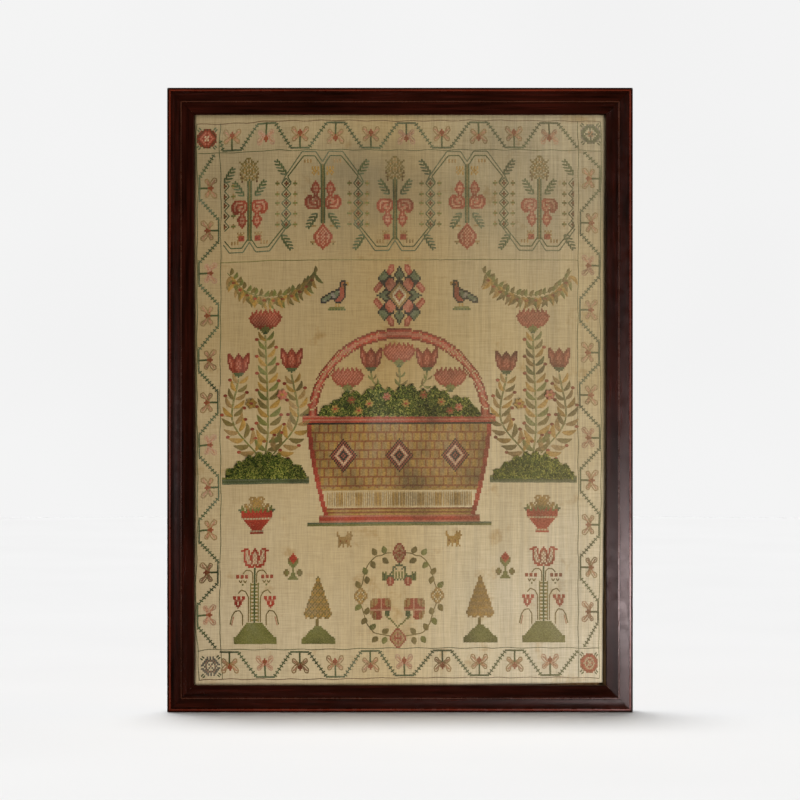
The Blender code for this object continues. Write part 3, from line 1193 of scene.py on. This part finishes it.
def tulip_plant(canvas, column):
    canvas.chart(mirrored(TULIP), column, -84)
    canvas.line(((column, -95), (column, -125)), "g")
    for side in (-1, 1):

        def placed(*points):
            return [(column + away * side, row) for away, row in points]

        canvas.back_stitch(placed((1.2, -103), (1.4, -97.4), (3, -96), (6, -96), (8, -98)), "o")
        for away in (5, 8, 11):
            square(canvas, column + away * side, -99, side, "r")
        for away in (6, 9):
            canvas.back_stitch(placed((away - 0.5, -101.6), (away + 0.5, -103), (away + 1.5, -101.6)), "o")
        canvas.stitch(column + 8 * side, -104, "m")
        canvas.back_stitch(placed((4, -125), (4, -111), (6, -108), (9, -107), (11, -109)), "o")
        canvas.back_stitch(placed((2.6, -103), (2.6, -125)), "m")
        for row in range(-104, -125, -2):
            for away, letter in ((1, "m"), (2, "t")):
                canvas.stitch(column + away * side, row, letter)
        for away, row in ((7, -111), (10, -111), (13, -111), (9, -114), (12, -114)):
            square(canvas, column + away * side, row, side, "v")
        canvas.line(((column + 8 * side, -113), (column + 13 * side, -113)), "p")
        canvas.line(((column + 10 * side, -116), (column + 12 * side, -116)), "v")
        canvas.stitch(column + 11 * side, -117, "p")
        outer_stem = placed((8, -127), (8, -121), (10, -118.6), (13, -119), (15, -121.5), (16.4, -126.5))
        canvas.back_stitch(outer_stem, "o")
        canvas.back_stitch(placed((14, -122), (15.4, -127)), "q")
    mound(canvas, column, -126, -137, 5, 14)


def square(canvas, column, row, side, letter):
    """A small square berry."""
    for across in (0, 1):
        for down in (0, 1):
            canvas.stitch(column + across * side, row - down, letter)


def small_tree(canvas, column):
    """A clipped tree in ochre on its mound. The right one is the paler."""
    lattice = "o" if column < 0 else "t"
    for row in range(-100, -124, -1):
        share = (-100 - row) / 21
        half = 0.6 + 9.0 * min(1, share)
        if share > 1:
            half = 9.2 - 1.5 * (share - 1) * 21 / 3
        for across in range(-int(half), int(half) + 1):
            if row < -122 and across % 5 in (3, 4):
                continue
            crossing = (across + row) % 4 == 0 or (across - row) % 4 == 0
            canvas.stitch(column + across, row, lattice if crossing else "ty"[(row // 2) % 2])
    for across in (-1, 0):
        canvas.line(((column + across, -124), (column + across, -128)), "o")
    mound(canvas, column, -128, -137, 2, 11)


WREATH_VINE = (
    (-5, -87), (-9, -87), (-12, -88.5), (-15.5, -88.7), (-19, -91), (-21.5, -94), (-23.3, -97.5),
    (-24.8, -103.6), (-26.5, -107), (-27, -111), (-26.5, -115), (-24.8, -118.5), (-23.3, -122.5),
    (-22, -126.5), (-19, -130), (-17.3, -131.8), (-14.3, -132.5), (-9.5, -133.2), (-5, -133.8),
)
# Leaf middles on the wreath, with the way each points in degrees
WREATH_LEAVES = (
    (-17.5, -85.6, 120), (-10.8, -84.4, 110), (-9.8, -90.6, -35), (-18.2, -93, -60), (-23.8, -96.4, 115),
    (-22.4, -101.6, -80), (-28.6, -104, 125), (-28.6, -117, -125), (-22.4, -118.9, 75), (-24.4, -124.7, -120),
    (-18.5, -127.8, 50), (-9.8, -130.2, 40), (-17, -135, -130), (-10.6, -135.6, -110),
)


def wreath(canvas, arms):
    middle = -0.5
    canvas.chart(mirrored(TOP_ROSE), 0, -82)
    canvas.chart(mirrored(BOTTOM_ROSE), -1, -129)
    canvas.chart(QUARTERED_BLOOM, -12, -113)
    canvas.chart(QUARTERED_BLOOM, 10, -113, flip_x=True)
    canvas.line(((0, -93), (-3, -95), (-6, -99)), "g")
    canvas.line(((0, -93), (3, -95), (5, -99)), "g")
    canvas.line(((-9, -122), (-5, -125), (-1, -129)), "m")
    canvas.line(((8, -122), (4, -125), (-1, -129)), "m")
    for column in range(-4, 5, 2):
        canvas.stitch(column, -94 - abs(column) % 3, "s")
        canvas.line(((column, -98), (column, -101)), "m")
        canvas.stitch(column + 1, -102, "g")
    for column in (-11, 9):
        for away in range(3):
            canvas.line(((column + away, -98 - away % 2), (column + away, -102)), "g" if away % 2 else "m")
    for side in (-1, 1):
        canvas.chart(mirrored(SIDE_FLOWER), round(middle + 26 * side), -107)
        canvas.chart(mirrored(DROOPING_BUD), round(middle + 6 * side), -100)
        for vine in (WREATH_VINE[:9], WREATH_VINE[10:]):
            points = [(middle + (column - middle) * -side, row) for column, row in vine]
            line_stitches(arms, points, "o", 1.6, 0.56 * MM)
    for number, (column, row, turn) in enumerate(WREATH_LEAVES):
        for side in (-1, 1):
            heading = np.array([math.cos(math.radians(turn)) * -side, math.sin(math.radians(turn))])
            reach = heading * (2.9, 2.4)
            centre = np.array([middle + (column - middle) * -side, row])
            letter = "omo"[(number + (side > 0)) % 3]
            satin_leaf(arms, centre - reach, centre + reach, 7.0 * MM, letter)


def lower_motifs(arms):
    canvas = Canvas("lower_motif_stitches")
    for side in (-1, 1):
        canvas.chart(mirrored(URN), 97 * side, -55)
        tulip_plant(canvas, 98 * side)
        canvas.chart(mirrored(SMALL_BUD), round(71.5 * side), -87)
        small_tree(canvas, 55 * side)
        tinted = [row.replace("t", "y") for row in ANIMAL] if side > 0 else ANIMAL
        canvas.chart(tinted, 37 * side, -75)
    wreath(canvas, arms)
    canvas.build()


# The middle of the field: a flower basket, plants, birds and a star

RIM = -15
FOOT = -65
STAVES_TOP = -50
HANDLE_HEIGHT = 43
BLOSSOMS = (
    (-44, -5), (-33, 0), (-21, -2), (-9, 2), (4, -2),
    (16, 3), (28, -1), (40, -4), (-28, -6), (34, -6),
)


def basket(canvas, arms, tufts):
    """A wide basket, woven above and staved below, heaped with raised green leaves and blossoms."""
    for row in range(RIM, FOOT - 1, -1):
        down = RIM - row
        half = round(62 - 11 * (down / (RIM - FOOT)) ** 1.5)
        for across in range(-half, half + 1):
            if abs(across) >= half - 2:
                letter = "v"
            elif row < STAVES_TOP:
                if FOOT + 3 < row < STAVES_TOP - 1:
                    continue
                letter = "cy"[row % 2]
            elif down % 5 == 4 or (across + 66 + 3 * (down // 5 % 2)) % 6 == 0:
                letter = "c"
            else:
                letter = "yt"[(across + down // 5) // 3 % 2]
            canvas.stitch(across, row, letter)
    for across in np.arange(-49, 49.5, 0.62):
        ends = np.array([[across, FOOT + 3.4], [across, STAVES_TOP - 1.6]]) + rng.normal(0, 0.08, (2, 2))
        spots = np.stack(canvas_place(ends[:, 0], ends[:, 1]), axis=1)
        letter = "wtywyt"[int(across * 2.3) % 6]
        arms.add(spots[:1], spots[1:], letter, 0.05 * MM, 0.4 * MM, 0.40 * MM)
    for centre in (-38, 0, 38):
        lozenge(canvas, centre, -32)
    for row, letter in zip(range(RIM + 1, RIM + 7), "kvpvpk"):
        canvas.line(((-65, row), (65, row)), letter)
    for row, letter in zip(range(FOOT - 1, FOOT - 5, -1), "pvvp"):
        canvas.line(((-54, row), (54, row)), letter)
    for lift, letter in enumerate("RvppvR"):
        points = []
        for step in range(61):
            angle = math.pi * step / 60
            height = (HANDLE_HEIGHT + lift) * math.sin(angle)
            points.append(((56 + lift) * math.cos(angle), RIM + 6 + height))
        canvas.line(points, letter)

    def heap(column, row):
        lobes = 1.6 * np.sin(column * 0.31) + 1.3 * np.sin(column * 0.83 + 1.0)
        return ((column / 55) ** 2 + ((row + 10) / (17 + lobes)) ** 2 < 1) & (row > RIM + 6)

    pile(tufts, heap, (-56, 56, RIM + 5, 10), "GGMGDD")
    for number, (column, row) in enumerate(BLOSSOMS):
        satin_flower(arms, column, row, 4.4 * MM, "ycyp"[number % 4], "v")


def lozenge(canvas, column, row):
    """A black, rose and cream lozenge on the basket's side."""
    for dx in range(-9, 10):
        for dz in range(-9, 10):
            away = abs(dx) + abs(dz)
            if away <= 9:
                canvas.stitch(column + dx, row + dz, "krkpwpkkrk"[9 - away])


def satin_flower(arms, column, row, radius, petal, heart, petals=6):
    """A round flower of satin petals about a small heart."""
    for number in range(petals):
        angle = 2 * math.pi * (number + 0.25) / petals
        reach = np.array([math.cos(angle) / CELL_WIDTH, math.sin(angle) / CELL_HEIGHT]) * radius
        base = (column + reach[0] * 0.2, row + reach[1] * 0.2)
        tip = (column + reach[0], row + reach[1])
        satin_leaf(arms, base, tip, radius * 0.95, petal, slant=0.1, lift=2.0 * MM)
    satin_berry(arms, column, row, radius * 0.34, heart, lift=2.2 * MM)


def curve(points, steps=10):
    """A smooth line through points, as canvas places."""
    points = np.asarray(points, float)
    padded = np.concatenate([[2 * points[0] - points[1]], points, [2 * points[-1] - points[-2]]])
    out = []
    for i in range(1, len(padded) - 2):
        p0, p1, p2, p3 = padded[i - 1 : i + 3]
        bend = 2 * p0 - 5 * p1 + 4 * p2 - p3
        twist = 3 * p1 - p0 - 3 * p2 + p3
        for step in range(steps):
            t = step / steps
            out.append(0.5 * (2 * p1 + (p2 - p0) * t + bend * t**2 + twist * t**3))
    out.append(padded[-2])
    return np.array(out)


def leafy_stem(arms, points, leaf_every, leaf_size, letters, stem="m", berries=""):
    """A curved stem with a pair of leaves at intervals, and berries on stalks between them."""
    path = curve(points)
    for beside in (-0.35, 0.35):
        line_stitches(arms, path + (beside, 0), stem, 1.2, 0.42 * MM)
    metres = path * (CELL_WIDTH, CELL_HEIGHT)
    lengths = np.concatenate([[0], np.cumsum(np.hypot(*np.diff(metres, axis=0).T))])
    count = int(lengths[-1] / leaf_every)
    for number in range(1, count + 1):
        place = number * leaf_every - leaf_every / 2
        spot = np.array([np.interp(place, lengths, metres[:, i]) for i in (0, 1)])
        ahead = np.array([np.interp(place + MM, lengths, metres[:, i]) for i in (0, 1)]) - spot
        heading = math.atan2(ahead[1], ahead[0])
        base = spot / (CELL_WIDTH, CELL_HEIGHT)
        for side in (-1, 1):
            angle = heading + side * math.radians(52 - 14 * number / count)
            size = leaf_size * (1.1 - 0.35 * number / count)
            tip = spot + size * np.array([math.cos(angle), math.sin(angle)])
            letter = letters[(number + (side > 0)) % len(letters)]
            satin_leaf(arms, base, tip / (CELL_WIDTH, CELL_HEIGHT), size * 0.36, letter, 0.13 * side)
            if berries and (number + (side > 0)) % 2:
                angle = heading + side * math.radians(80)
                end = spot + size * 0.75 * np.array([math.cos(angle), math.sin(angle)])
                end = end / (CELL_WIDTH, CELL_HEIGHT)
                line_stitches(arms, [base, end], "m", 1.2, 0.2 * MM)
                satin_berry(arms, end[0], end[1], 1.9 * MM, berries[number % len(berries)])


TALL_TULIP = (
    "R.....RR",
    "RR...RRR",
    "RrR.RRrR",
    "rrRRRrpR",
    "prRRrrpR",
    "rprRrpRR",
    "rprRrpR.",
    "prrRrpR.",
    "rprRrRR.",
    "rrRRrR..",
    "rRRRR...",
    "gggg....",
    "ggg.....",
    "g.......",
)
CARNATION = (
    "r..r..r.....",
    "rr.rr.rr.r..",
    "prrprrprrr..",
    "rprprprprrr.",
    "prprprprprrr",
    "rprprprprpr.",
    "prprprprprr.",
    "rprprprprr..",
    "prprprprr...",
    "mrrrrrrr....",
    "mmmrrm......",
    "mmmm........",
    "gmm.........",
    "gg..........",
)
STAR = (
    "yyrrwtttkksssssk....",
    "yrrwwttkkssssk......",
    "rrwwttkksssk...rr...",
    "rwwttkppkkk...rrpr..",
    "wwttkppppk...rrppr..",
    "wttkppppprk.rrppr...",
    "ttkppppprrkkrppr....",
    "tkkpppprrrkkkrr.....",
    "kkk.ppprrkkkkk......",
    "ks..kprrkkssssk.....",
    "kss.kkkkksssssk.....",
    "sssk..kkssssgs......",
    "sssk..rrkssgg.......",
    "ssk..rprrksg........",
    "sk..rpprr.k.........",
    "sk..rppr............",
    "k...rprr............",
    "....rrr.............",
    "....................",
)
BIRD = (
    "..............kkk.......",
    ".............kcckyy.....",
    ".............kckkky.....",
    ".............kcck.......",
    "............krrck.......",
    "..........kkkrrrk.......",
    ".......kkksslrrrk.......",
    ".....kkllssskrrrk.......",
    "...kksslllsskrrrk.......",
    ".kksssskllskrrrrk.......",
    "kssssskkkkkrrrrk........",
    "kslskk...krrrrk.........",
    "kkkk......kkkk..........",
    "..........y.y...........",
    "..........y.y...........",
    "......mmmmmmmmmm........",
    ".....mgmgmgmgmgmg.......",
)


def middle_field(arms, tufts):
    canvas = Canvas("middle_field_stitches")
    basket(canvas, arms, tufts)
    canvas.chart(quarters(STAR), 0, 58 + 18)
    for side in (-1, 1):
        canvas.chart(BIRD, 41 * side, 66, flip_x=side > 0)
        canvas.chart(mirrored(TALL_TULIP), 19 * side, 28)
        leafy_stem(arms, ((14 * side, 6), (18 * side, 10), (19 * side, 15)), 8 * MM, 9 * MM, "om")
        canvas.chart(mirrored(CARNATION), 35 * side, 17)
        leafy_stem(arms, ((28 * side, 3), (34 * side, 4)), 8 * MM, 8 * MM, "mo")
        corner_festoon(arms, side)
        side_plant(canvas, arms, tufts, side)
    canvas.chart(mirrored(CARNATION), 0, 31)
    leafy_stem(arms, ((0, 6), (0.5, 11), (0, 18)), 8 * MM, 10 * MM, "mo")
    for row, letter in ((-70, "s"), (-71, "m")):
        canvas.line(((-62, row), (62, row)), letter)
    canvas.build()


def corner_festoon(arms, side):
    """A hanging swag of long tan and olive leaves with red berries."""
    points = ((117 * side, 72), (104 * side, 61), (86 * side, 58), (68 * side, 63), (56 * side, 73))
    path = curve(points, 6)
    line_stitches(arms, path, "m", 1.2, 0.42 * MM)
    for number in range(1, len(path) - 1):
        spot = path[number]
        for turn, letter in ((-62, "oym"[number % 3]), (-118, "yto"[number % 3]), (72, "mo"[number % 2])):
            angle = math.radians(turn + 16 * math.sin(number * 1.7))
            reach = np.array([math.cos(angle) * 9.0, math.sin(angle) * 7.6])
            if turn > 0:
                reach = reach * 0.6
            satin_leaf(arms, spot, spot + reach, 4.6 * MM, letter, 0.12 * side)
    for number in range(2, len(path) - 1, 2):
        satin_berry(arms, path[number][0], path[number][1] - 2.0, 2.0 * MM, "rR"[number % 4 // 2])


def side_plant(canvas, arms, tufts, side):
    """A tall flowering plant on a green mound."""
    foot = 91 * side

    def hill(column, row):
        edge = -41 + 11 * np.cos(np.clip((column - foot) / 28, -1, 1) * np.pi / 2)
        return row < edge + 1.0 * np.sin(column * 0.9)

    pile(tufts, hill, (foot - 27, foot + 27, -44, -28), "MGGDM", 2.0 * MM)
    for row, letter in zip(range(-44, -48, -1), "msgs"):
        canvas.line(((foot - 29, row), (foot + 29, row)), letter)
    stems = ((0, 36, 2, "r"), (-18, 12, -4, "rR"), (18, 14, 4, "Rr"))
    for across, height, bend, berries in stems:
        column = foot + across
        points = ((column * 0.3 + foot * 0.7, -31), (column + bend, -12), (column, height))
        leafy_stem(arms, points, 8.5 * MM, 17 * MM, "oyt" if across else "yom", "m", berries)
    canvas.chart(mirrored(CARNATION), foot, 50)
    canvas.chart(mirrored(TALL_TULIP), foot - 18, 26)
    canvas.chart(mirrored(TALL_TULIP), foot + 18, 28)
    satin_flower(arms, foot - 10, -2, 5.6 * MM, "y", "r")
    satin_flower(arms, foot + 11, 3, 5.6 * MM, "p", "y")


def guide_lines():
    """The thin green lines that part the fields."""
    arms = Arms("thread_lines")
    left, right = -OUTER_SIDE, OUTER_SIDE - 0.4
    for row in (OUTER_TOP, INNER_TOP, INNER_BOTTOM, OUTER_BOTTOM):
        columns = np.linspace(left, right, 150)
        rows = row + 0.22 * np.sin(columns * 0.31 + row)
        line_stitches(arms, np.stack([columns, rows], axis=1), "g" if abs(row) < 150 else "b", 2.4, 0.36 * MM)
    for column in (left, -INNER_SIDE, INNER_SIDE, right):
        rows = np.linspace(OUTER_BOTTOM, OUTER_TOP, 170)
        columns = column + 0.22 * np.sin(rows * 0.27 + column)
        line_stitches(arms, np.stack([columns, rows], axis=1), "g", 2.0, 0.36 * MM)
    line_stitches(arms, [(-INNER_SIDE, SEPARATOR), (INNER_SIDE, SEPARATOR)], "m", 2.4, 0.36 * MM)
    arms.build()


# Stage, lights and camera

CAMERA_LENS = 120
CAMERA_SENSOR = 36
VIEW_HEIGHT = 0.8
STAGE_RADIUS = 4.5
STAGE_HEIGHT = 4.0
STAGE_ANGLES = [2 * math.pi * i / 64 for i in range(64)]


def studio():
    scene = bpy.context.scene
    camera_data = bpy.data.cameras.new("camera")
    camera_data.lens = CAMERA_LENS
    camera_data.sensor_width = CAMERA_SENSOR
    distance = VIEW_HEIGHT * CAMERA_LENS / CAMERA_SENSOR
    camera = bpy.data.objects.new("camera", camera_data)
    camera.location = (0, -(RAIL_DEPTH + distance), CENTRE_HEIGHT)
    camera.rotation_euler = (math.radians(90), 0, 0)
    scene.collection.objects.link(camera)
    scene.camera = camera

    scene.view_settings.view_transform = "Standard"
    world = bpy.data.worlds.new("studio")
    world.use_nodes = True
    world.node_tree.nodes["Background"].inputs["Color"].default_value = (1.0, 1.0, 1.0, 1)
    world.node_tree.nodes["Background"].inputs["Strength"].default_value = 0.12
    world.cycles_visibility.glossy = False
    scene.world = world

    floor = floor_disc()
    backdrop_ring()
    key = area_light("key", (1.15, -1.75, -0.75), (1.0, 1.0), 46, (1.0, 0.98, 0.96))
    fill = area_light("fill", (-0.5, -1.9, 1.3), (1.2, 1.0), 19, (1.0, 0.98, 0.95))
    back = area_light("back", (-0.9, 2.4, 0.9), (1.4, 1.4), 60, (1.0, 0.98, 0.96))
    for light in (key, fill, back):
        link_pieces(light, [floor], "EXCLUDE")
        light.visible_glossy = False
    for number, (side, place, size, power) in enumerate(SHEENS):
        sheen = area_light(f"sheen_{number}", place, size, power, (1.0, 0.82, 0.82))
        sheen.visible_diffuse = False
        link_pieces(sheen, [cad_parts[f"{kind}_{side}"] for kind in WOODS])
    for name, turn, strength, spread in FLOOR_LIGHTS:
        link_pieces(sun_light(name, turn, strength, spread), [floor])


# Suns for the floor alone: how each leans from straight down in degrees, strength and spread.
# The second comes from behind, so the frame's own shadow falls in front of its foot
FLOOR_LIGHTS = (("floor_front", (-60.0, 0.0), 0.62, 8.0), ("floor_behind", (7.9, -3.0), 2.66, 17.0))
# Panels that only shine in the polish of one rail each: rail, place, size and power
SHEENS = (
    ("right", (0.65, -2.75, -0.40), (1.3, 0.16), 16),
    ("right", (-1.4, -2.75, -0.40), (2.8, 0.16), 11),
    ("bottom", (0.66, -2.75, -0.45), (0.5, 0.34), 5),
    ("left", (-0.5, -2.75, -0.12), (0.5, 0.3), 0.7),
)


def link_pieces(light, pieces, state="INCLUDE"):
    """Lets a light reach these pieces alone, or all but these."""
    linked = bpy.data.collections.new(f"{light.name}_linking")
    for piece in pieces:
        linked.objects.link(piece)
    for entry in linked.collection_objects:
        entry.light_linking.link_state = state
    light.light_linking.receiver_collection = linked


def unlit_by_stage(piece):
    """A stage piece that the camera sees, but that neither lights nor shades the frame."""
    piece.visible_diffuse = False
    piece.visible_glossy = False
    piece.visible_transmission = False
    piece.visible_shadow = False


def floor_disc():
    """The pale floor that the frame stands on."""
    points = [(STAGE_RADIUS * math.cos(a), STAGE_RADIUS * math.sin(a), 0) for a in STAGE_ANGLES]
    mesh = bpy.data.meshes.new("floor")
    mesh.from_pydata(points, [], [list(range(len(points)))])
    mesh.transform(Matrix.Translation((0, 0, CENTRE_HEIGHT - FRAME_HEIGHT / 2 - 0.1 * MM)))
    floor = new_object("floor", mesh)
    material, tree, shader = new_material("pale_floor", Roughness=0.95, Specular_IOR_Level=0.0)
    pale = noise(tree, plain(tree), 3, 2)
    colour = ramp(tree, pale, (0.3, (237, 237, 237)), (0.7, (239, 239, 239)))
    tree.links.new(colour, shader.inputs["Base Color"])
    mesh.materials.append(material)
    unlit_by_stage(floor)
    return floor


def backdrop_ring():
    """A pale backdrop all round, evenly bright."""
    count = len(STAGE_ANGLES)
    points = []
    for height in (-1.0, STAGE_HEIGHT):
        points += [(STAGE_RADIUS * math.cos(a), STAGE_RADIUS * math.sin(a), height) for a in STAGE_ANGLES]
    faces = [(i, (i + 1) % count, count + (i + 1) % count, count + i) for i in range(count)]
    mesh = bpy.data.meshes.new("backdrop")
    mesh.from_pydata(points, [], faces)
    backdrop = new_object("backdrop", mesh)
    material = bpy.data.materials.new("pale_backdrop")
    material.use_nodes = True
    tree = material.node_tree
    glow = tree.nodes.new("ShaderNodeEmission")
    pale = noise(tree, plain(tree), 1.5, 2)
    tree.links.new(ramp(tree, pale, (0.3, (242, 242, 242)), (0.7, (244, 244, 244))), glow.inputs["Color"])
    tree.links.new(glow.outputs[0], tree.nodes["Material Output"].inputs["Surface"])
    mesh.materials.append(material)
    unlit_by_stage(backdrop)


def sun_light(name, turn, strength, spread):
    data = bpy.data.lights.new(name, "SUN")
    data.energy = strength
    data.angle = math.radians(spread)
    light = bpy.data.objects.new(name, data)
    light.rotation_euler = (math.radians(-turn[0]), math.radians(turn[1]), 0)
    bpy.context.scene.collection.objects.link(light)
    return light


def area_light(name, place, size, power, colour):
    """A soft light aimed at the frame's middle. Its place is from there."""
    data = bpy.data.lights.new(name, "AREA")
    data.shape = "RECTANGLE"
    data.size = size[0]
    data.size_y = size[1]
    data.energy = power
    data.color = colour
    light = bpy.data.objects.new(name, data)
    middle = Vector((0, -RAIL_DEPTH, CENTRE_HEIGHT))
    light.location = middle + Vector(place)
    light.rotation_euler = (middle - light.location).to_track_quat("-Z", "Y").to_euler()
    bpy.context.scene.collection.objects.link(light)
    return light


THREAD_MATERIALS = {letter: thread_material(name, colour) for letter, (name, colour) in THREADS.items()}


def main():
    studio()
    dress_frame()
    linen_sheet = dress_linen()
    guide_lines()
    border()
    band()
    satin = Arms("satin_stitches")
    tufts = Arms("pile_tufts")
    lower_motifs(satin)
    middle_field(satin, tufts)
    satin.build()
    tufts.build()
    bpy.context.view_layer.update()


main()
